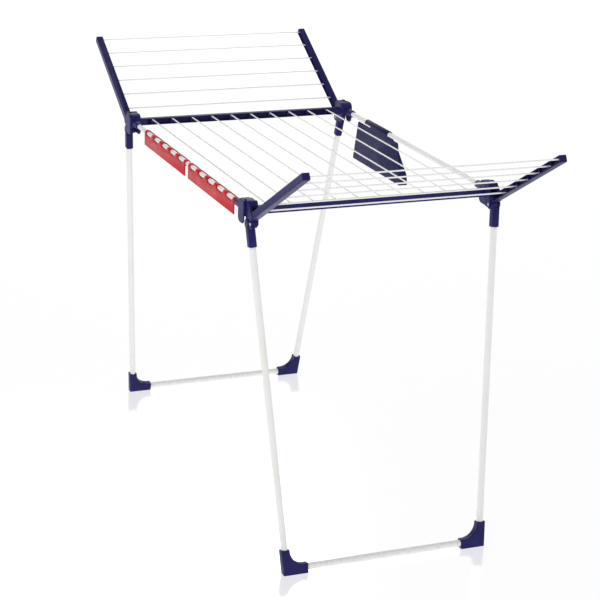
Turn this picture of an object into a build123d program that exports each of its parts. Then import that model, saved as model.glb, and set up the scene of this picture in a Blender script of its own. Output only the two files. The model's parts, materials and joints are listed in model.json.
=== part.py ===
from build123d import *
import os
from math import cos, pi, radians, sin, tan

# Clothes drying rack with a wire deck, two folding wings and two folding leg frames.
# X runs across the rack, Y along it towards the far wing, Z up. The origin is on the floor,
# under the middle of the deck. Every corner piece is drawn once, at the far right corner,
# and mirrored to the other three. All sizes are in millimetres.

# Deck
wire_d = 4.0
wire_z = 948.0
deck_wires = 10
deck_wire_pitch = 63.1
deck_wire_end = 499.0
rail_y = (489.0, 509.0)
rail_z = (932.0, 952.0)
rail_end_x = 326.8
rail_web = 2.6
rail_flange = 1.9
rail_round = 2.2
rib_width = 8.0
rib_depth = 10.0
side_tube_d = 14.0
side_tube_x = 345.0
side_tube_z = 945.0
side_tube_end = 484.0

# Hub: a shell with a thin inner cheek that carries both pivots
hub_x = (327.0, 360.8)
hub_y = (468.0, 510.0)
hub_z = (908.0, 970.0)
hub_corners = [16, 5, 14, 16]
cheek_inner = 3.8
cheek_outer = 3.0
hub_wall = 4.0
collar_end = 425.0
collar_d = 21.0
collar_round = 1.4
hub_rim = 2.6
fold_z = 930.0
plate_slot = 16.0
front_wall = 7.0
cheek_round = 2.0
wing_boss_r = 11.0
spigot_length = 26.0
through = 5.0
fit = 0.08
free_gap = 0.3

# Pivots, as places in the YZ plane
wing_pivot = (514.0, 960.0)
leg_pivot = (524.0, 915.0)
pin_d = 8.0
pin_head_d = 16.0
pin_round = 1.2
pin_head_height = 2.4
eye_x = (331.1, 347.7)
plate_x = (348.0, 354.3)
cheek_corners = ((wing_pivot, 11.0), (leg_pivot, 9.5), ((488.0, 954.0), 12.0), ((484.0, 924.0), 14.0))

# Screws that hold the rails on the hubs
screw_x = 313.8
screw_y = 499.0
screw_d = 3.0
screw_head_d = 6.6
screw_length = 11.0
screw_head_height = 1.8
screw_gap = 0.1
screw_hole_depth = 8.0

# Wings
wing_angle = 30.0
arm_offset = 33.9
arm_x = (331.3, 352.3)
arm_height = 19.0
arm_wall = 3.0
arm_flange = 2.2
arm_rib_depth = 5.0
arm_start = 2.5
arm_tip = 390.5
arm_round = 2.4
root_back = -14.0
root_r = 12.5
root_round = 1.6
wing_wires = 6
wing_wire_first = 65.7
wing_wire_pitch = 63.4
wing_wire_end = 348.4

# Legs
leg_splay = 10.1
leg_taper = 0.0721
leg_top_x = 348.0
leg_tube_d = 18.0
tube_wall = 1.0
tube_start = 28.0
tube_end_rise = 24.0
sleeve_section = (26.0, 21.0)
sleeve_round = 7.0
sleeve_length = 61.0
sleeve_top = 8.0
sleeve_rim = 1.6
ear_round = 1.2
sleeve_clear_r = 20.0
foot_height = 66.0
foot_width = 69.0
foot_sleeve = 23.0
foot_depth = 24.0
foot_arc_r = 42.5
foot_rim = 2.6
foot_outer_x = 292.6
foot_round = 3.0
foot_grip = 40.0
pocket_depth = 6.5
pocket_turn = radians(14)
floor_tube_z = 12.0

# Clip-on holders
small_holder_length = 369.0
small_holder_starts = {"rear": -24.0, "front": -421.0}
holder_wall = 2.6
holder_windows = 5
window_pitch = 73.5
window_length = 50.0
window_width = 19.0
holder_low_z = 910.0
holder_round = 0.9
small_clip_open = (130.0, 215.0)
shoe_holder_centre = 262.0
shoe_back_x = (356.3, 359.1)
shoe_front_x = 381.0
shoe_z = (803.0, 926.0)
shoe_lip_z = 833.0
shoe_mouth_z = 908.0
shoe_half_top = 145.0
shoe_half_low = 176.0
shoe_corner = 5.0
shoe_trough = 30.0
shoe_clip_y = (150.0, 312.0)
shoe_clip_open = (150.0, 250.0)
shoe_clip_lap = 4.0

os.makedirs("parts", exist_ok=True)


def save(piece, name):
    """Name a finished piece and write its STEP file."""
    piece.part.label = name
    export_step(piece.part, f"parts/{name}.step")


def save_at_corners(master, name):
    """Write the far right master and its mirrored copies, one node for each corner."""
    for end in ("far", "near"):
        for side in ("right", "left"):
            with BuildPart() as copy:
                add(master.part)
                if side == "left":
                    mirror(about=Plane.YZ, mode=Mode.REPLACE)
                if end == "near":
                    mirror(about=Plane.XZ, mode=Mode.REPLACE)
            save(copy, f"{end}_{side}_{name}")


def save_at_ends(master, name):
    """Write the far master and its mirrored copy at the near end."""
    save(master, f"far_{name}")
    with BuildPart() as copy:
        add(master.part)
        mirror(about=Plane.XZ, mode=Mode.REPLACE)
    save(copy, f"near_{name}")


def span(low, high):
    """Length and middle of a stretch."""
    return high - low, (low + high) / 2


def block(x, y, z, mode=Mode.ADD):
    """A box given by its low and high places on each axis."""
    sizes = [span(*stretch) for stretch in (x, y, z)]
    with Locations([tuple(middle for _, middle in sizes)]):
        Box(*[length for length, _ in sizes], mode=mode)


def disc(x, centre, radius, mode=Mode.ADD):
    """A round plate or hole along X, between two places on X, centred on a point in YZ."""
    length, middle = span(*x)
    with Locations(Location((middle, *centre), (0, 90, 0))):
        Cylinder(radius, length, mode=mode)


# The leg frame lies in a tilted plane: its x is the rack's X, and its y runs up the leg.
splay = radians(leg_splay)
leg_plane = Plane(origin=(0, *leg_pivot), x_dir=(1, 0, 0), z_dir=(0, -cos(splay), -sin(splay)))
floor_s = leg_pivot[1] / cos(splay)


def leg_point(s):
    """A point on the leg tube's line, s below the pivot."""
    return leg_plane.from_local_coords((leg_top_x - leg_taper * s, -s, 0))


leg_down = (leg_point(100) - leg_point(0)).normalized()


def tube_plane(s):
    """The plane square to the leg tube, s below the pivot. Its x is the frame's normal."""
    return Plane(origin=leg_point(s), x_dir=leg_plane.z_dir, z_dir=leg_down)


# The arm's own frame: x is the rack's X, y is square to the arm, z runs out along it.
tilt = radians(wing_angle)
arm_foot = (wing_pivot[0] + arm_offset * sin(tilt), wing_pivot[1] - arm_offset * cos(tilt))


def arm_plane(along):
    """The plane square to the arm, at a distance along it from the foot of the pivot."""
    origin = (0, arm_foot[0] + along * cos(tilt), arm_foot[1] + along * sin(tilt))
    return Plane(origin=origin, x_dir=(-1, 0, 0), z_dir=(0, cos(tilt), sin(tilt)))


# Hub housing
with BuildPart() as hub:
    with BuildSketch(Plane.YZ.offset(hub_x[0])):
        with BuildLine():
            FilletPolyline(
                (hub_y[0], hub_z[1]),
                (hub_y[1], hub_z[1]),
                (hub_y[1], hub_z[0]),
                (hub_y[0], hub_z[0]),
                radius=hub_corners,
                close=True,
            )
        make_face()
    extrude(amount=hub_x[1] - hub_x[0])
    outer_rim = hub.faces().sort_by(Axis.X)[-1].edges()
    fillet(outer_rim, hub_rim)
    # The cavity is wider below, where the folded leg sleeve lies
    inside_y = (hub_y[0] + hub_wall, hub_y[1] - front_wall)
    upper_x = (hub_x[0] + cheek_inner, plate_x[1] + free_gap)
    lower_x = (hub_x[0] + cheek_inner, hub_x[1] - cheek_outer)
    block(upper_x, inside_y, (hub_z[0] - through, hub_z[1] - hub_wall), Mode.SUBTRACT)
    fold_y = (hub_y[0] - through, hub_y[1] + through)
    block(lower_x, fold_y, (hub_z[0] - through, fold_z), Mode.SUBTRACT)
    slot_x = (plate_x[0] - free_gap, plate_x[1] + free_gap)
    block(slot_x, (hub_y[1] - plate_slot, hub_y[1] + through), (fold_z, hub_z[1] + through), Mode.SUBTRACT)
    # Cheek that reaches out to both pivots
    with BuildSketch(Plane.YZ.offset(hub_x[0])):
        for centre, radius in cheek_corners:
            with Locations(centre):
                Circle(radius)
        make_hull()
    extrude(amount=cheek_inner)
    inner_face = hub.faces().sort_by(Axis.X)[0]
    fillet(inner_face.edges(), cheek_round)
    disc((hub_x[0], eye_x[1]), wing_pivot, wing_boss_r)
    # Socket and collar for the side tube
    socket_z = (fold_z + cheek_outer, hub_z[1] - 2)
    block(upper_x, (hub_y[0] + 1, side_tube_end + cheek_outer), socket_z)
    with Locations(Location((side_tube_x, (collar_end + hub_y[0] + 1) / 2, side_tube_z), (90, 0, 0))):
        Cylinder(collar_d / 2, hub_y[0] + 1 - collar_end)
    collar_rim = hub.faces().sort_by(Axis.Y)[0].outer_wire().edges()
    fillet(collar_rim, collar_round)
    with Locations(Location((side_tube_x, (collar_end - 1 + side_tube_end) / 2, side_tube_z), (90, 0, 0))):
        Cylinder(side_tube_d / 2 + fit, side_tube_end - collar_end + 1, mode=Mode.SUBTRACT)
    # Spigot that plugs into the end rail
    block(
        (rail_end_x - spigot_length, hub_x[0] + 1),
        (rail_y[0] + 1, rail_y[1] - rail_web - free_gap),
        (rail_z[0] + rail_flange + free_gap, rail_z[1] - rail_flange - free_gap),
    )
    # Pin bores and the screw's pilot hole
    disc((hub_x[0] - 1, eye_x[1] + 1), wing_pivot, pin_d / 2 + fit, Mode.SUBTRACT)
    disc((hub_x[0] - 1, eye_x[0] + 1), leg_pivot, pin_d / 2 + fit, Mode.SUBTRACT)
    with Locations((screw_x, screw_y, rail_z[0] + screw_length / 2)):
        Cylinder(screw_d / 2 + screw_gap, screw_length + 1, mode=Mode.SUBTRACT)
save_at_corners(hub, "hub")

# Side tubes, from socket to socket
for side, sign in (("left", -1), ("right", 1)):
    with BuildPart() as side_tube:
        with BuildSketch(Plane.XZ.offset(-side_tube_end)):
            with Locations((sign * side_tube_x, side_tube_z)):
                Circle(side_tube_d / 2)
                Circle(side_tube_d / 2 - tube_wall, mode=Mode.SUBTRACT)
        extrude(amount=2 * side_tube_end)
    save(side_tube, f"{side}_side_tube")

# End rail: a channel, open towards the deck, with a rib for each wire
deck_wire_x = [(i - (deck_wires - 1) / 2) * deck_wire_pitch for i in range(deck_wires)]
with BuildPart() as end_rail:
    block((-rail_end_x, rail_end_x), rail_y, rail_z)
    fillet(end_rail.edges().filter_by(Axis.X), rail_round)
    inside_z = (rail_z[0] + rail_flange, rail_z[1] - rail_flange)
    block((-rail_end_x - 1, rail_end_x + 1), (rail_y[0] - 1, rail_y[1] - rail_web), inside_z, Mode.SUBTRACT)
    for x in deck_wire_x:
        rib = (x - rib_width / 2, x + rib_width / 2)
        block(rib, (rail_y[1] - rail_web - rib_depth, rail_y[1] - 1), (rail_z[0] + 1, rail_z[1] - 1))
    rib_middle_y = rail_y[1] - rail_web - rib_depth / 2
    with Locations([Location((x, rib_middle_y, wire_z), (90, 0, 0)) for x in deck_wire_x]):
        Cylinder(wire_d / 2 + fit, rib_depth + 2, mode=Mode.SUBTRACT)
    upwards = (Align.CENTER, Align.CENTER, Align.MIN)
    with Locations((screw_x, screw_y, rail_z[0]), (-screw_x, screw_y, rail_z[0])):
        Cylinder(screw_d / 2 + free_gap, screw_hole_depth, mode=Mode.SUBTRACT)
        seat_top = screw_d / 2 + free_gap
        Cone(screw_head_d / 2 + screw_gap, seat_top, screw_head_height, align=upwards, mode=Mode.SUBTRACT)
save_at_ends(end_rail, "end_rail")

# Countersunk screws that hold the rails on the spigots
with BuildPart() as rail_screws:
    for y in (-screw_y, screw_y):
        for x in (-screw_x, screw_x):
            with Locations((x, y, rail_z[0])):
                Cone(screw_head_d / 2, screw_d / 2, screw_head_height, align=upwards)
                Cylinder(screw_d / 2, screw_length, align=upwards)
save(rail_screws, "rail_screws")

# Deck wires
with BuildPart() as deck:
    with BuildSketch(Plane.XZ.offset(-deck_wire_end)):
        with Locations([(x, wire_z) for x in deck_wire_x]):
            Circle(wire_d / 2)
    extrude(amount=2 * deck_wire_end)
save(deck, "deck_wires")

# Wing arm: a root plate on the pivot, and a channel open towards the wires
wire_places = [wing_wire_first + i * wing_wire_pitch for i in range(wing_wires)]
with BuildPart() as arm:
    arm_width, arm_middle = span(*arm_x)
    with BuildSketch(arm_plane(arm_start)):
        with Locations((-arm_middle, 0)):
            RectangleRounded(arm_width, arm_height, arm_round)
    extrude(amount=arm_tip - arm_start)
    tip_face = arm.faces().sort_by(Axis.Y)[-1]
    fillet(tip_face.edges(), arm_round - 0.2)
    channel_start = arm_start + 2 * arm_wall
    with BuildSketch(arm_plane(channel_start)):
        with Locations((-arm_middle + arm_wall, 0)):
            Rectangle(arm_width, arm_height - 2 * arm_flange)
    extrude(amount=arm_tip - arm_wall - channel_start, mode=Mode.SUBTRACT)
    rib_x = (arm_x[1] - arm_wall - arm_rib_depth, arm_x[1] - arm_wall + 1)
    rib_length, rib_middle = span(*rib_x)
    for place in wire_places:
        with BuildSketch(arm_plane(place - rib_width / 2)):
            with Locations((-rib_middle, 0)):
                Rectangle(rib_length, arm_height - 2 * arm_flange + 0.4)
        extrude(amount=rib_width)
    for place in wire_places:
        wire = arm_plane(place).origin
        disc((rib_x[0] - 1, wing_wire_end + free_gap), (wire.Y, wire.Z), wire_d / 2 + fit, Mode.SUBTRACT)
    with BuildSketch(Plane.YZ.offset(plate_x[0])):
        root_ends = [arm_plane(along).origin for along in (root_back, -root_back)]
        with Locations(wing_pivot):
            Circle(root_r)
        for end in root_ends:
            with Locations((end.Y, end.Z)):
                Circle(arm_height / 2)
        make_hull()
    extrude(amount=plate_x[1] - plate_x[0])
    outer_face = arm.faces().sort_by(Axis.X)[-1]
    fillet(outer_face.edges(), root_round)
    disc((plate_x[0] - 1, plate_x[1] + 1), wing_pivot, pin_d / 2 + fit, Mode.SUBTRACT)
    head_x = (plate_x[1] - pin_head_height, plate_x[1] + 1)
    disc(head_x, wing_pivot, pin_head_d / 2 + free_gap, Mode.SUBTRACT)
save_at_corners(arm, "arm")

# Wing wires
with BuildPart() as wing:
    for place in wire_places:
        wire = arm_plane(place).origin
        disc((-wing_wire_end, wing_wire_end), (wire.Y, wire.Z), wire_d / 2)
save_at_ends(wing, "wing_wires")

# Pivot pins, held in the hubs
pin_start = hub_x[0] + free_gap
wing_head_x = (plate_x[1] - pin_head_height + free_gap, plate_x[1])
leg_head_x = (eye_x[1] - pin_head_height - free_gap, eye_x[1] - free_gap)
with BuildPart() as wing_pin:
    disc((pin_start, wing_head_x[0]), wing_pivot, pin_d / 2)
    disc(wing_head_x, wing_pivot, pin_head_d / 2)
    fillet(wing_pin.faces().sort_by(Axis.X)[-1].edges(), pin_round)
with BuildPart() as leg_pin:
    disc((pin_start, leg_head_x[0]), leg_pivot, pin_d / 2)
    disc(leg_head_x, leg_pivot, pin_head_d / 2)
    fillet(leg_pin.faces().sort_by(Axis.X)[-1].edges(), pin_round)
for master, name in ((wing_pin, "wing_pins"), (leg_pin, "leg_pins")):
    with BuildPart() as pins:
        add(master.part)
        mirror(about=Plane.YZ)
        mirror(about=Plane.XZ)
    save(pins, name)

# Leg sleeve: an eye on the pivot and a socket for the leg tube
with BuildPart() as leg_sleeve:
    with BuildSketch(tube_plane(sleeve_top)):
        RectangleRounded(*sleeve_section, sleeve_round)
    extrude(amount=sleeve_length - sleeve_top)
    lower_rim = leg_sleeve.faces().sort_by(Axis.Z)[0].edges()
    fillet(lower_rim, sleeve_rim)
    # The arm's root plate passes between the eye and an outer ear
    ear_x = (plate_x[1] + free_gap, leg_top_x + sleeve_section[1] / 2)
    disc((eye_x[1], ear_x[0]), leg_pivot, sleeve_clear_r, Mode.SUBTRACT)
    disc(ear_x, leg_pivot, sleeve_section[0] / 2 - 1)
    ear_rim = leg_sleeve.faces().sort_by(Axis.X)[-1].edges()
    fillet(ear_rim, ear_round)
    disc(eye_x, leg_pivot, sleeve_section[0] / 2)
    with BuildSketch(tube_plane(tube_start - 1)):
        Circle(leg_tube_d / 2 + fit)
    extrude(amount=sleeve_length, mode=Mode.SUBTRACT)
    disc((eye_x[0] - 1, eye_x[1] + 1), leg_pivot, pin_d / 2 + fit, Mode.SUBTRACT)
    head_bore_x = (leg_head_x[0] - free_gap, eye_x[1] + 1)
    disc(head_bore_x, leg_pivot, pin_head_d / 2 + free_gap, Mode.SUBTRACT)
save_at_corners(leg_sleeve, "leg_sleeve")

# Leg tube
with BuildPart() as leg_tube:
    with BuildSketch(tube_plane(tube_start)):
        Circle(leg_tube_d / 2)
        Circle(leg_tube_d / 2 - tube_wall, mode=Mode.SUBTRACT)
    extrude(amount=floor_s - tube_start - tube_end_rise)
save_at_corners(leg_tube, "leg_tube")

# Foot: an upright socket and a level socket, joined by a web with a round inner edge
inner_x = foot_outer_x - foot_width
floor_tube_end = inner_x + foot_grip
sole_y = -floor_s
lean = leg_taper * foot_height
arc_centre = (foot_outer_x + lean - foot_sleeve - foot_arc_r, sole_y + foot_height)
arc_low = arc_centre[1] - foot_arc_r
with BuildPart() as foot:
    with BuildSketch(leg_plane):
        with BuildLine():
            Polyline(
                (arc_centre[0] + foot_arc_r, arc_centre[1]),
                (foot_outer_x + lean, sole_y + foot_height),
                (foot_outer_x, sole_y - through),
                (inner_x, sole_y - through),
                (inner_x, arc_low),
                (arc_centre[0], arc_low),
            )
            CenterArc(arc_centre, foot_arc_r, -90, 90)
        make_face()
    extrude(amount=foot_depth / 2, both=True)
    for face in (foot.faces().sort_by(Axis.Y)[0], foot.faces().sort_by(Axis.Y)[-1]):
        fillet(face.edges(), foot_round)
    # Pocket on each side of the web, inside the round edge
    rim_r = foot_arc_r + foot_rim
    pocket_right = arc_centre[0] + foot_arc_r - 1
    pocket_low = arc_low - 1
    for direction in (1, -1):
        low, half_way, high = [
            (arc_centre[0] + rim_r * sin(turn), arc_centre[1] - rim_r * cos(turn))
            for turn in (pocket_turn, pi / 4, pi / 2 - pocket_turn)
        ]
        with BuildSketch(leg_plane.offset(direction * foot_depth / 2)):
            with BuildLine():
                Polyline(low, (low[0], pocket_low), (pocket_right, pocket_low), (pocket_right, high[1]), high)
                ThreePointArc(high, half_way, low)
            make_face()
        extrude(amount=-direction * pocket_depth, mode=Mode.SUBTRACT)
    with BuildSketch(tube_plane(floor_s - foot_height - through)):
        Circle(leg_tube_d / 2 + fit)
    extrude(amount=foot_height + through - tube_end_rise + 1, mode=Mode.SUBTRACT)
    floor_tube_y = leg_pivot[0] + (leg_pivot[1] - floor_tube_z) * tan(splay)
    floor_socket_x = (inner_x - 1, floor_tube_end + 1)
    disc(floor_socket_x, (floor_tube_y, floor_tube_z), leg_tube_d / 2 + fit, Mode.SUBTRACT)
    # The sole is cut level with the floor
    below_floor = (-foot_depth, 0)
    block((0, leg_top_x), (leg_pivot[0], leg_pivot[0] + leg_pivot[1]), below_floor, Mode.SUBTRACT)
save_at_corners(foot, "foot")

# Floor tube, across the frame between its feet
with BuildPart() as floor_tube:
    disc((-floor_tube_end, floor_tube_end), (floor_tube_y, floor_tube_z), leg_tube_d / 2)
    bore_end = floor_tube_end + 1
    disc((-bore_end, bore_end), (floor_tube_y, floor_tube_z), leg_tube_d / 2 - tube_wall, Mode.SUBTRACT)
save_at_ends(floor_tube, "floor_tube")


def tube_clip(x, y, open_angles):
    """A part-round clip about a side tube, open between two angles counted from straight up."""
    inner_r = side_tube_d / 2 + fit
    reach = 2 * side_tube_d
    opening = [(0, 0)]
    for angle in (open_angles[0], sum(open_angles) / 2, open_angles[1]):
        opening.append((reach * sin(radians(angle)), reach * cos(radians(angle))))
    with BuildSketch(Plane.XZ.offset(-y[1])) as section:
        with Locations((x, side_tube_z)):
            Circle(inner_r + holder_wall)
            Circle(inner_r, mode=Mode.SUBTRACT)
            Polygon(*opening, align=None, mode=Mode.SUBTRACT)
    extrude(section.sketch, amount=y[1] - y[0])


# Small-item holder: a clip along the tube with windows, and a hanging strip
for place, start in small_holder_starts.items():
    y = (start, start + small_holder_length)
    with BuildPart() as small_holder:
        tube_clip(-side_tube_x, y, small_clip_open)
        plate_out = -side_tube_x - side_tube_d / 2 - holder_wall
        block((plate_out, plate_out + holder_wall), y, (holder_low_z, side_tube_z))
        middle = start + small_holder_length / 2
        for i in range(holder_windows):
            window_y = middle + (i - (holder_windows - 1) / 2) * window_pitch
            window = (-side_tube_x, window_y, side_tube_z)
            with BuildSketch(Plane(origin=window, x_dir=(0, 1, 0), z_dir=(-1, 0, 1))):
                SlotOverall(window_length, window_width)
            extrude(amount=side_tube_d, mode=Mode.SUBTRACT)
        lower_edges = small_holder.edges().filter_by(Axis.Y).group_by(Axis.Z)[0]
        fillet(lower_edges, holder_round)
    save(small_holder, f"{place}_small_item_holder")

# Shoe holder: hooks over the right tube, with two troughs outside the back plate
shoe_wall = shoe_back_x[1] - shoe_back_x[0]
shoe_ends = (shoe_holder_centre - shoe_half_low, shoe_holder_centre + shoe_half_low)


def edge_at(z, inset):
    """Half the back plate's length at a height, less an inset."""
    up = (z - shoe_z[0]) / (shoe_z[1] - shoe_z[0])
    return shoe_half_low + (shoe_half_top - shoe_half_low) * up - inset


with BuildPart() as shoe_holder:
    # Wedge that stands out from the back plate, trimmed to the plate's slanted ends
    with BuildSketch(Plane.XZ.offset(-shoe_ends[1])):
        Polygon(
            (shoe_back_x[0], shoe_z[0]),
            (shoe_front_x, shoe_z[0]),
            (shoe_front_x, shoe_lip_z),
            (shoe_back_x[1], shoe_mouth_z - shoe_corner),
            (shoe_back_x[1], shoe_z[1]),
            (shoe_back_x[0], shoe_z[1]),
            align=None,
        )
    extrude(amount=shoe_ends[1] - shoe_ends[0])
    with BuildSketch(Plane.YZ.offset(shoe_back_x[0])):
        with BuildLine():
            FilletPolyline(
                (shoe_holder_centre - shoe_half_top, shoe_z[1]),
                (shoe_holder_centre + shoe_half_top, shoe_z[1]),
                (shoe_ends[1], shoe_z[0]),
                (shoe_ends[0], shoe_z[0]),
                radius=shoe_corner,
                close=True,
            )
        make_face()
    extrude(amount=shoe_front_x - shoe_back_x[0], mode=Mode.INTERSECT)
    # Two troughs, open above the front lip
    trough_depth = shoe_front_x - shoe_wall - shoe_back_x[1]
    for sign in (-1, 1):
        for depth, low in ((trough_depth, shoe_z[0] + shoe_wall), (shoe_trough, shoe_lip_z)):
            corners = [
                (sign * shoe_wall / 2, low),
                (sign * edge_at(low, shoe_wall), low),
                (sign * edge_at(shoe_mouth_z, shoe_wall), shoe_mouth_z),
                (sign * shoe_wall / 2, shoe_mouth_z),
            ]
            with BuildSketch(Plane.YZ.offset(shoe_back_x[1])):
                with Locations((shoe_holder_centre, 0)):
                    Polygon(*corners, align=None)
            extrude(amount=depth, mode=Mode.SUBTRACT)
    tube_clip(side_tube_x, shoe_clip_y, shoe_clip_open)
    hook_x = (side_tube_x + side_tube_d / 2 + 2, shoe_back_x[1])
    block(hook_x, shoe_clip_y, (shoe_z[1] - shoe_clip_lap, side_tube_z))
save(shoe_holder, "shoe_holder")
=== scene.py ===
# %% [markdown]
# # Clothes drying rack
# The rack is a wire deck between two moulded end rails, with two wings that fold over it and
# two leg frames that fold under it. The CAD model fixes every size and joint. This script
# dresses that frame: it gives each part its finish, and makes again the parts that repeat.

# %% Load the frame
import json
from math import radians

import bmesh
import bpy
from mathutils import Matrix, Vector

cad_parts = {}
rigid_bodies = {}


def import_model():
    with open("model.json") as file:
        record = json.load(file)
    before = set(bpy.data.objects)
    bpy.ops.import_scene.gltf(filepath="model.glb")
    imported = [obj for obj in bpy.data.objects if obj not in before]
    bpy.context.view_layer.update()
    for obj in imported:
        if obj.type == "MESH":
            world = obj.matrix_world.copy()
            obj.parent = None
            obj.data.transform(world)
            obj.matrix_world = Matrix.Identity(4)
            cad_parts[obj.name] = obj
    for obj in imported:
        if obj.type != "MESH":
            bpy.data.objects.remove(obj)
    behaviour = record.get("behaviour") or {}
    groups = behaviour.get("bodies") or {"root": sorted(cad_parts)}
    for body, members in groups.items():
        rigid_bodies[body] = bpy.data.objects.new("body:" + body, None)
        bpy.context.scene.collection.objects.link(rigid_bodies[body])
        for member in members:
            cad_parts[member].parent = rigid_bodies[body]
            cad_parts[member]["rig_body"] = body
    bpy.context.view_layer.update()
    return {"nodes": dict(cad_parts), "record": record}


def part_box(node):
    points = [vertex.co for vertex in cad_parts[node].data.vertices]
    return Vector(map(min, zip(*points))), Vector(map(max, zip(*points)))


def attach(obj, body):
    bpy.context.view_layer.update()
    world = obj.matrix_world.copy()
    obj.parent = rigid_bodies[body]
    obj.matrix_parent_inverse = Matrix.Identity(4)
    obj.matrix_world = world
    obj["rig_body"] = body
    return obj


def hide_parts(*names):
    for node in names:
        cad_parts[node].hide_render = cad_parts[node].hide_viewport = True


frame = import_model()
nodes = frame["nodes"]

# %% [markdown]
# ## Camera
# A long lens stands well back, so that the legs stay nearly upright and the far wing is not
# much smaller than the near one. A shorter lens close by would show the same parts with
# stronger perspective. The place is in metres and the three angles are in degrees.

# %% Camera
camera_data = bpy.data.cameras.new("studio_camera")
camera_data.lens = 111.83
camera_data.sensor_width = 36.0
camera = bpy.data.objects.new("studio_camera", camera_data)
camera.location = (-1.9543, -4.755, 2.2363)
camera.rotation_euler = [radians(angle) for angle in (71.407, -1.9092, -21.839)]
bpy.context.scene.collection.objects.link(camera)
bpy.context.scene.camera = camera
print("camera stands", round(camera.location.length, 2), "m from the rack's middle")

# %% [markdown]
# ## Floor and light
# A catalogue picture is taken on a white sweep with large soft boxes. A curved backdrop would
# be one way, but it would stand in the way of a view from behind. The floor here is one wide
# plane with a gloss, so that the feet leave a faint reflection, and the sky is white: full
# white down at the horizon, like the foot of a studio wall, and softer overhead.

# %% Floor and sky
floor_mesh = bpy.data.meshes.new("floor")
reach = 40.0
floor_mesh.from_pydata(
    [(-reach, -reach, 0), (reach, -reach, 0), (reach, reach, 0), (-reach, reach, 0)], [], [(0, 1, 2, 3)]
)
floor = bpy.data.objects.new("floor", floor_mesh)
bpy.context.scene.collection.objects.link(floor)

world = bpy.data.worlds.new("studio")
world.use_nodes = True
sky = world.node_tree.nodes["Background"]
sky.inputs["Color"].default_value = (1.0, 1.0, 1.0, 1.0)
direction = world.node_tree.nodes.new("ShaderNodeTexCoord")
height = world.node_tree.nodes.new("ShaderNodeSeparateXYZ")
fade = world.node_tree.nodes.new("ShaderNodeMapRange")
fade.interpolation_type = "SMOOTHSTEP"
sky_fade = {"From Min": 0.1, "From Max": 0.24, "To Min": 1.0, "To Max": 0.4}
for label, value in sky_fade.items():
    fade.inputs[label].default_value = value
world.node_tree.links.new(direction.outputs["Generated"], height.inputs[0])
world.node_tree.links.new(height.outputs["Z"], fade.inputs["Value"])
world.node_tree.links.new(fade.outputs["Result"], sky.inputs["Strength"])
bpy.context.scene.world = world
bpy.context.scene.view_settings.view_transform = "Standard"
print("floor", 2 * reach, "m wide, sky strength", sky_fade["To Min"], "to", sky_fade["To Max"])

# %% [markdown]
# Three square area lamps give the tubes a bright side and a soft shaded side. Point lamps
# would leave hard thin shadows of every wire, and a large lamp melts them away.


# %% Lamps
def soft_box(name, place, target, size, power):
    """A square area lamp that faces a target."""
    lamp_data = bpy.data.lights.new(name, "AREA")
    lamp_data.shape = "SQUARE"
    lamp_data.size = size
    lamp_data.energy = power
    lamp = bpy.data.objects.new(name, lamp_data)
    lamp.location = place
    lamp.rotation_euler = (Vector(target) - Vector(place)).to_track_quat("-Z", "Y").to_euler()
    bpy.context.scene.collection.objects.link(lamp)
    return lamp


middle = (0.0, 0.0, 0.6)
lamps = [
    soft_box("key_lamp", (-2.6, -2.4, 3.4), middle, 1.8, 40),
    soft_box("side_lamp", (3.2, -1.6, 2.4), middle, 1.6, 14),
    soft_box("back_lamp", (0.6, 3.4, 2.8), middle, 2.2, 26),
]
print(len(lamps), "lamps, total", sum(lamp.data.energy for lamp in lamps), "W")

# %% [markdown]
# ## Writing a finish
# A finish is a small tree of shader nodes. Laying nodes by hand in the editor is clear for
# one finish, but slow for many. Here a socket is wrapped in a class, so that `mask * 0.5`
# adds a Math node, and one method adds any other node with its settings and its inputs.


# %% Shader tools
class Tap:
    """One output of a node in a finish. Arithmetic on it adds Math nodes."""

    def __init__(self, finish, socket):
        self.finish = finish
        self.socket = socket

    def sum_up(self, operation, first, second):
        return self.finish.node("ShaderNodeMath", {"operation": operation}, {0: first, 1: second})

    def __add__(self, other):
        return self.sum_up("ADD", self, other)

    def __radd__(self, other):
        return self.sum_up("ADD", other, self)

    def __sub__(self, other):
        return self.sum_up("SUBTRACT", self, other)

    def __rsub__(self, other):
        return self.sum_up("SUBTRACT", other, self)

    def __mul__(self, other):
        return self.sum_up("MULTIPLY", self, other)

    def __rmul__(self, other):
        return self.sum_up("MULTIPLY", other, self)


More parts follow.
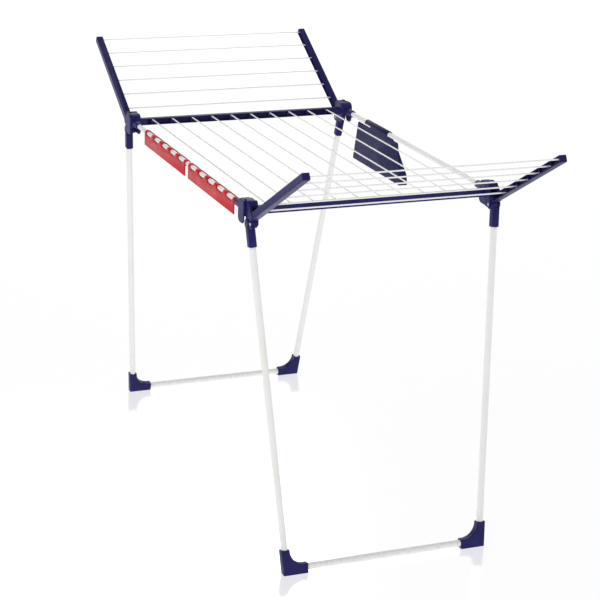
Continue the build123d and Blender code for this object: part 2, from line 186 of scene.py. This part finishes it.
class Finish:
    """A material under construction, with its pattern in the object's own metres."""

    def __init__(self, name):
        self.material = bpy.data.materials.new(name)
        self.material.use_nodes = True
        self.tree = self.material.node_tree
        self.tree.nodes.clear()
        self.place = self.node("ShaderNodeTexCoord", output="Object")

    def node(self, kind, settings={}, inputs={}, output=0):
        """Add a node: its settings first, then the values or links of its inputs."""
        made = self.tree.nodes.new(kind)
        for name, value in settings.items():
            setattr(made, name, value)
        for name, value in inputs.items():
            if isinstance(value, Tap):
                self.tree.links.new(value.socket, made.inputs[name])
            else:
                made.inputs[name].default_value = value
        return None if output is None else Tap(self, made.outputs[output])

    def noise(self, scale, detail=2.0, stretch=(1, 1, 1), seed=(0, 0, 0)):
        """Soft cloudy noise, with about `scale` blobs in a metre, moved by its seed."""
        placing = {"Vector": self.place, "Location": seed, "Scale": stretch}
        moved = self.node("ShaderNodeMapping", {}, placing)
        return self.node("ShaderNodeTexNoise", {}, {"Vector": moved, "Scale": scale, "Detail": detail})

    def ramp(self, value, low, high):
        """0 below low and 1 above high, with a smooth climb between."""
        settings = {"interpolation_type": "SMOOTHSTEP"}
        inputs = {"Value": value, "From Min": low, "From Max": high}
        return self.node("ShaderNodeMapRange", settings, inputs)

    def blend(self, mask, first, second):
        """A colour between two, by a mask."""
        return self.node("ShaderNodeMix", {"data_type": "RGBA"}, {0: mask, 6: first, 7: second}, 2)

    def bump(self, height, depth, strength=1.0):
        """Surface relief from a height of 0 to 1, `depth` metres tall."""
        return self.node("ShaderNodeBump", {}, {"Height": height, "Distance": depth, "Strength": strength})

    def surface(self, **inputs):
        """Close the tree with a Principled shader and return the material."""
        named = {name.replace("_", " "): value for name, value in inputs.items()}
        shader = self.node("ShaderNodeBsdfPrincipled", {}, named)
        self.node("ShaderNodeOutputMaterial", {}, {"Surface": shader}, output=None)
        return self.material


print("shader tools ready")

# %% [markdown]
# ## Finishes
# The moulded parts are a navy plastic with a fine spark-eroded grain. Real mouldings are
# never one even colour: the pigment clouds a little, handling polishes some places, and the
# grain breaks up the shine. Noise at two sizes does both, and a bump lifts the grain.


# %% Moulded plastic
def moulded_plastic(name, colour, cloud_colour, roughness, grain_depth, shine):
    """Grained plastic with faint clouds in its pigment and rubbed, shinier places."""
    finish = Finish(name)
    clouds = finish.ramp(finish.noise(38, 3.0), 0.35, 0.75)
    grain = finish.noise(2600, 2.0)
    rubbed = finish.ramp(finish.noise(17, 4.0, seed=(3, 1, 7)), 0.5, 0.72)
    scratches = finish.ramp(finish.noise(240, 3.0, stretch=(1, 1, 9)), 0.66, 0.78)
    return finish.surface(
        Base_Color=finish.blend(clouds, colour, cloud_colour),
        Roughness=roughness - 0.09 * rubbed + 0.12 * scratches + 0.06 * grain,
        Normal=finish.bump(grain + scratches * 0.4, grain_depth, 0.6),
        Specular_IOR_Level=shine,
    )


navy = moulded_plastic(
    "navy_plastic", (0.015, 0.013, 0.095, 1), (0.02, 0.018, 0.12, 1), 0.36, 0.00012, shine=0.13
)
holder_navy = moulded_plastic(
    "holder_navy", (0.013, 0.013, 0.075, 1), (0.018, 0.018, 0.092, 1), 0.4, 0.0001, shine=0.06
)
holder_red = moulded_plastic(
    "holder_red", (0.58, 0.002, 0.007, 1), (0.64, 0.004, 0.011, 1), 0.34, 0.00006, shine=0.12
)
print("plastics:", navy.name, holder_navy.name, holder_red.name)

# %% [markdown]
# The steel tubes and wires are powder coated in white. Powder flows out into a skin with a
# low, even ripple called orange peel. It could be a displacement, but the ripple is only
# hundredths of a millimetre deep, so a bump is right. Dust gathers towards the floor.


# %% Coated steel
def coated_steel(name, colour, ripple_scale, ripple_depth, roughness):
    """White powder coat with orange peel, faint yellowing clouds, and dust near the floor."""
    finish = Finish(name)
    peel = finish.noise(ripple_scale, 2.0)
    clouds = finish.ramp(finish.noise(9, 3.0), 0.35, 0.8)
    height = finish.node("ShaderNodeSeparateXYZ", {}, {0: finish.place}, "Z")
    low_down = 1.0 - finish.ramp(height, 0.02, 0.22)
    dust = low_down * finish.ramp(finish.noise(120, 4.0), 0.4, 0.7)
    warm = tuple(channel * shade for channel, shade in zip(colour, (0.97, 0.965, 0.94))) + (1,)
    dusty = tuple(channel * 0.8 for channel in colour) + (1,)
    coat = finish.blend(clouds, (*colour, 1), warm)
    return finish.surface(
        Base_Color=finish.blend(dust * 0.5, coat, dusty),
        Roughness=roughness + 0.1 * clouds + 0.2 * dust,
        Normal=finish.bump(peel, ripple_depth, 0.5),
    )


white_tube = coated_steel("white_tube", (0.92, 0.92, 0.91), 420, 0.0002, 0.28)
white_wire = coated_steel("white_wire", (0.97, 0.97, 0.97), 700, 0.0001, 0.34)
print("coated steel:", white_tube.name, white_wire.name)

# %% [markdown]
# Pins and screws are zinc-plated steel. The plating is bright but not a mirror: the
# turning marks run round, and a thin haze dulls it in patches. Metallic is 1 everywhere, and
# the haze changes only the roughness and the colour.

# %% Plated steel
plated = Finish("plated_steel")
haze = plated.ramp(plated.noise(300, 3.0), 0.35, 0.7)
turning = plated.noise(1800, 1.0, stretch=(6, 1, 1))
pin_steel = plated.surface(
    Base_Color=plated.blend(haze, (0.62, 0.62, 0.63, 1), (0.48, 0.48, 0.5, 1)),
    Metallic=1.0,
    Roughness=0.24 + 0.2 * haze,
    Normal=plated.bump(turning, 0.00005, 0.5),
)
print("plated steel:", pin_steel.name)

# %% [markdown]
# The floor's finish is a pale glossy sheet. Its own faint glow keeps it white all the way
# back, and a partly metallic surface gives each foot a soft mirror image, which fades with
# height because the sheet is not quite smooth. A pure mirror would look like water.

# %% Floor finish
sweep = Finish("pale_sweep")
mottle = sweep.noise(0.6, 2.0)
floor_mesh.materials.append(
    sweep.surface(
        Base_Color=sweep.blend(mottle, (0.58, 0.58, 0.58, 1), (0.6, 0.6, 0.6, 1)),
        Roughness=0.12,
        Metallic=0.75,
        Emission_Color=(1.0, 1.0, 1.0, 1.0),
        Emission_Strength=0.7,
    )
)
print("floor:", floor_mesh.materials[0].name)

# %% [markdown]
# ## Dressing the frame
# Each CAD part carries the name of its material slot, so one table of slots gives every part
# its finish. The parts keep their CAD meshes, which are never moved or changed.

# %% Dress the frame
finishes = {
    "navy_plastic": navy,
    "white_tube": white_tube,
    "white_wire": white_wire,
    "pin_steel": pin_steel,
    "red_plastic": holder_red,
    "holder_plastic": holder_navy,
}
slot_of = {row["node"]: row["material_slot"] for row in frame["record"]["subparts"]}

for name, part in nodes.items():
    for index in range(len(part.material_slots)):
        part.material_slots[index].material = finishes[slot_of[name]]
print({slot: list(slot_of.values()).count(slot) for slot in finishes})

# %% [markdown]
# ## Growing a tree of Geometry Nodes
# Wires and screws repeat, so a rule places them. A tree of nodes could be drawn by hand, but
# one built in the script can be read and measured.


# %% Geometry tools
class Grower:
    """A Geometry Nodes tree with named inputs."""

    def __init__(self, name, inputs):
        self.tree = bpy.data.node_groups.new(name, "GeometryNodeTree")
        self.sockets = {}
        face = self.tree.interface
        face.new_socket("Geometry", in_out="OUTPUT", socket_type="NodeSocketGeometry")
        for label, kind in inputs.items():
            socket = face.new_socket(label, in_out="INPUT", socket_type="NodeSocket" + kind)
            self.sockets[label] = socket.identifier
        self.inputs = self.tree.nodes.new("NodeGroupInput").outputs
        self.exit = self.tree.nodes.new("NodeGroupOutput").inputs[0]

    def node(self, kind, settings={}, inputs={}, output=0):
        """Add a node and return one of its outputs."""
        made = self.tree.nodes.new(kind)
        for name, value in settings.items():
            setattr(made, name, value)
        for name, value in inputs.items():
            if isinstance(value, bpy.types.NodeSocket):
                self.tree.links.new(value, made.inputs[name])
            else:
                made.inputs[name].default_value = value
        return made.outputs[output]

    def close(self, geometry):
        """End the tree: real geometry in one material."""
        real = self.node("GeometryNodeRealizeInstances", {}, {"Geometry": geometry})
        smooth = self.node("GeometryNodeSetShadeSmooth", {}, {"Geometry": real})
        finished = self.node(
            "GeometryNodeSetMaterial", {}, {"Geometry": smooth, "Material": self.inputs["Finish"]}
        )
        self.tree.links.new(finished, self.exit)

    def grow(self, name, values):
        """Run the tree with these values and return the result as a plain mesh object."""
        holder = bpy.data.objects.new(name + "_seed", bpy.data.meshes.new(name + "_seed"))
        bpy.context.scene.collection.objects.link(holder)
        modifier = holder.modifiers.new("grow", "NODES")
        modifier.node_group = self.tree
        for label, value in values.items():
            modifier[self.sockets[label]] = value
        bpy.context.view_layer.update()
        grown = holder.evaluated_get(bpy.context.evaluated_depsgraph_get())
        mesh = bpy.data.meshes.new_from_object(grown)
        mesh.name = name
        bpy.data.objects.remove(holder)
        piece = bpy.data.objects.new(name, mesh)
        bpy.context.scene.collection.objects.link(piece)
        return piece


def fit_in(piece, body, slot, *replaced):
    """Let a piece ride on its body, in place of the CAD parts that it stands for."""
    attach(piece, body)
    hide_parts(*replaced)
    triangles = sum(len(face.vertices) - 2 for face in piece.data.polygons)
    print(piece.name, "on", body, "has", triangles, "triangles")


print("geometry tools ready")

# %% [markdown]
# ## Wires
# Every wire on the rack is the same: straight coated steel, four millimetres thick, laid in
# equal steps. One tree draws a wire as a circle swept along a line, and repeats it on a row
# of points. No real wire is perfectly straight, so a little noise bows each one by less than
# half a millimetre.

# %% Wire tree
wires = Grower(
    "wire_row",
    {
        "Wires": "Int",
        "First": "Vector",
        "Step": "Vector",
        "Half": "Vector",
        "Radius": "Float",
        "Bow": "Float",
        "Seed": "Float",
        "Finish": "Material",
    },
)
rack = wires.inputs
back = wires.node("ShaderNodeVectorMath", {"operation": "SCALE"}, {0: rack["Half"], "Scale": -1.0})
line = wires.node("GeometryNodeCurvePrimitiveLine", {}, {"Start": back, "End": rack["Half"]})
points_along, points_round = 48, 14
path = wires.node("GeometryNodeResampleCurve", {}, {"Curve": line, "Count": points_along})
round_section = {"Resolution": points_round, "Radius": rack["Radius"]}
ring = wires.node("GeometryNodeCurvePrimitiveCircle", {}, round_section)
wire = wires.node("GeometryNodeCurveToMesh", {}, {"Curve": path, "Profile Curve": ring, "Fill Caps": True})
print("one wire has", points_along * points_round, "points")

# %% [markdown]
# The row is a Mesh Line of points with one wire on each. The wires are made real before the
# noise moves them, because noise on instances would lift each wire whole, not bow it.

# %% Wire row
steps = {"Count": rack["Wires"], "Start Location": rack["First"], "Offset": rack["Step"]}
row = wires.node("GeometryNodeMeshLine", {}, steps)
laid = wires.node("GeometryNodeInstanceOnPoints", {}, {"Points": row, "Instance": wire})
real_wires = wires.node("GeometryNodeRealizeInstances", {}, {"Geometry": laid})
slow_noise = {"W": rack["Seed"], "Scale": 3.0, "Detail": 0.0}
waver = wires.node("ShaderNodeTexNoise", {"noise_dimensions": "4D"}, slow_noise)
centred = wires.node("ShaderNodeMath", {"operation": "SUBTRACT"}, {0: waver, 1: 0.5})
lift = wires.node("ShaderNodeMath", {"operation": "MULTIPLY"}, {0: centred, 1: rack["Bow"]})
shift = wires.node("ShaderNodeCombineXYZ", {}, {"Z": lift})
wires.close(wires.node("GeometryNodeSetPosition", {}, {"Geometry": real_wires, "Offset": shift}))
print("wire tree has", len(wires.tree.nodes), "nodes")

# %% Lay the wires
wire_bow = 0.0008
deck_low, deck_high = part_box("deck_wires")
wire_radius = (deck_high[2] - deck_low[2]) / 2
print("wires are", round(2000 * wire_radius, 2), "mm thick")


def lay_wires(name, body, count, along, seed):
    """A row of wires in the box of its CAD part, running along the X or the Y axis."""
    low, high = (Vector(corner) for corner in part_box(name))
    half = Vector((0.0, 0.0, 0.0))
    half[along] = (high[along] - low[along]) / 2
    first = Vector(low) + Vector((wire_radius,) * 3)
    last = Vector(high) - Vector((wire_radius,) * 3)
    first[along] = last[along] = (high[along] + low[along]) / 2
    if name.startswith("near"):
        first.y, last.y = last.y, first.y
    values = {
        "Wires": count,
        "First": first,
        "Step": (last - first) / (count - 1),
        "Half": half,
        "Radius": wire_radius,
        "Bow": wire_bow,
        "Seed": seed,
        "Finish": white_wire,
    }
    piece = wires.grow(name.replace("wires", "wire_row"), values)
    fit_in(piece, body, "white_wire", name)


lay_wires("deck_wires", "deck", 10, 1, 2.0)
lay_wires("far_wing_wires", "far_wing", 6, 0, 5.0)
lay_wires("near_wing_wires", "near_wing", 6, 0, 9.0)

# %% [markdown]
# ## Screws
# A countersunk screw holds each end of a rail on its hub from below. Its head has a cross
# recess for the driver, which the plain CAD screw leaves out. The recess is cut with a
# Mesh Boolean: two thin blocks taken away from the cone. A Mesh Grid of two by two points
# then sets one screw at each corner of the deck.

# %% Screw tree
screws = Grower(
    "screw_set",
    {
        "Spread": "Vector",
        "Centre": "Vector",
        "Length": "Float",
        "Shank": "Float",
        "Head": "Float",
        "Finish": "Material",
    },
)
given = screws.inputs


def scaled(value, factor):
    """A tree's value times a number."""
    return screws.node("ShaderNodeMath", {"operation": "MULTIPLY"}, {0: value, 1: factor})


print("screw tree takes", ", ".join(screws.sockets))

# %% Screw head
recess_length, recess_width, recess_depth = 1.1, 0.26, 0.6
head_depth = 0.55


def driver_blade(along_x):
    """One thin block of the cross recess, sunk in the head, sized from the head's radius."""
    long_side = scaled(given["Head"], recess_length)
    thin_side = scaled(given["Head"], recess_width)
    sides = (long_side, thin_side) if along_x else (thin_side, long_side)
    deep = scaled(given["Head"], recess_depth)
    size = screws.node("ShaderNodeCombineXYZ", {}, {"X": sides[0], "Y": sides[1], "Z": deep})
    return screws.node("GeometryNodeMeshCube", {}, {"Size": size})


head = screws.node(
    "GeometryNodeMeshCone",
    {},
    {
        "Vertices": 40,
        "Radius Top": given["Shank"],
        "Radius Bottom": given["Head"],
        "Depth": scaled(given["Head"], head_depth),
    },
)
cut = screws.tree.nodes.new("GeometryNodeMeshBoolean")
cut.operation = "DIFFERENCE"
cut.solver = "EXACT"
cut.inputs["Self Intersection"].default_value = True
screws.tree.links.new(head, cut.inputs["Mesh 1"])
for blade in (driver_blade(True), driver_blade(False)):
    screws.tree.links.new(blade, cut.inputs["Mesh 2"])
print("head with a cross recess", recess_length, "head radii long")

# %% Screw shank and its places
shank_share = 0.84
shank_size = {"Vertices": 24, "Radius": given["Shank"], "Depth": scaled(given["Length"], shank_share)}
rod = screws.node("GeometryNodeMeshCylinder", {}, shank_size)
rod_lift = screws.node("ShaderNodeCombineXYZ", {}, {"Z": scaled(given["Length"], 1 - shank_share / 2)})
raised = screws.node("GeometryNodeTransform", {}, {"Geometry": rod, "Translation": rod_lift})
screw = screws.tree.nodes.new("GeometryNodeJoinGeometry")
for half_made in (cut.outputs["Mesh"], raised):
    screws.tree.links.new(half_made, screw.inputs["Geometry"])
across = screws.node("ShaderNodeSeparateXYZ", {}, {0: given["Spread"]}, "X")
along = across.node.outputs["Y"]
two_by_two = {"Size X": across, "Size Y": along, "Vertices X": 2, "Vertices Y": 2}
corners = screws.node("GeometryNodeMeshGrid", {}, two_by_two)
placed = screws.node("GeometryNodeInstanceOnPoints", {}, {"Points": corners, "Instance": screw.outputs[0]})
screws.close(screws.node("GeometryNodeTransform", {}, {"Geometry": placed, "Translation": given["Centre"]}))
print("screw tree has", len(screws.tree.nodes), "nodes")

# %% Set the screws
low, high = (Vector(corner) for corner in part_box("rail_screws"))
head_radius, shank_radius = 0.0033, 0.0015
spread = high - low - Vector((2 * head_radius, 2 * head_radius, 0.0))
screw_set = screws.grow(
    "rail_screw_set",
    {
        "Spread": spread,
        "Centre": Vector(((low.x + high.x) / 2, (low.y + high.y) / 2, low.z)),
        "Length": high.z - low.z,
        "Shank": shank_radius,
        "Head": head_radius,
        "Finish": pin_steel,
    },
)
screw_set.data.set_sharp_from_angle(angle=radians(30))
fit_in(screw_set, "deck", "pin_steel", "rail_screws")

# %% [markdown]
# ## Mouldings
# The hubs, arms, sleeves, feet, rails and holders are injection mouldings. A tool never
# leaves a knife edge: every edge has a radius of half a millimetre or so, and that line of
# light is what makes plastic look moulded. The CAD part has the right faces, so a copy of
# its mesh is welded, its flat triangles are joined, and a Bevel modifier rounds each edge.
# Modelling each part again would give the same shape with more work.


# %% Soften the mouldings
edge_radius = 0.0005
weld_distance = 2e-6
flat_angle, sharp_angle, crease_angle = radians(0.8), radians(38), radians(42)


def soften(name):
    """A copy of a CAD part with its sharp edges rounded."""
    source = nodes[name]
    shell = bmesh.new()
    shell.from_mesh(source.data)
    bmesh.ops.remove_doubles(shell, verts=shell.verts, dist=weld_distance)
    bmesh.ops.dissolve_limit(
        shell, angle_limit=flat_angle, verts=shell.verts, edges=shell.edges, delimit={"NORMAL"}
    )
    mesh = bpy.data.meshes.new(name + "_moulding")
    shell.to_mesh(mesh)
    shell.free()
    piece = bpy.data.objects.new(name + "_moulding", mesh)
    bpy.context.scene.collection.objects.link(piece)
    bevel = piece.modifiers.new("edge", "BEVEL")
    bevel.limit_method = "ANGLE"
    bevel.angle_limit = sharp_angle
    bevel.width = edge_radius
    bevel.segments = 2
    bevel.miter_outer = "MITER_ARC"
    bpy.context.view_layer.update()
    rounded = piece.evaluated_get(bpy.context.evaluated_depsgraph_get())
    piece.modifiers.clear()
    piece.data = bpy.data.meshes.new_from_object(rounded)
    piece.data.name = name + "_moulding"
    piece.data.polygons.foreach_set("use_smooth", [True] * len(piece.data.polygons))
    piece.data.set_sharp_from_angle(angle=crease_angle)
    piece.data.materials.clear()
    piece.data.materials.append(finishes[slot_of[name]])
    fit_in(piece, source["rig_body"], slot_of[name], name)


moulded_kinds = ("_hub", "_arm", "_sleeve", "_foot", "_rail", "holder")
mouldings = [name for name in nodes if name.endswith(moulded_kinds)]
for name in mouldings:
    soften(name)
print(len(mouldings), "mouldings have soft edges")
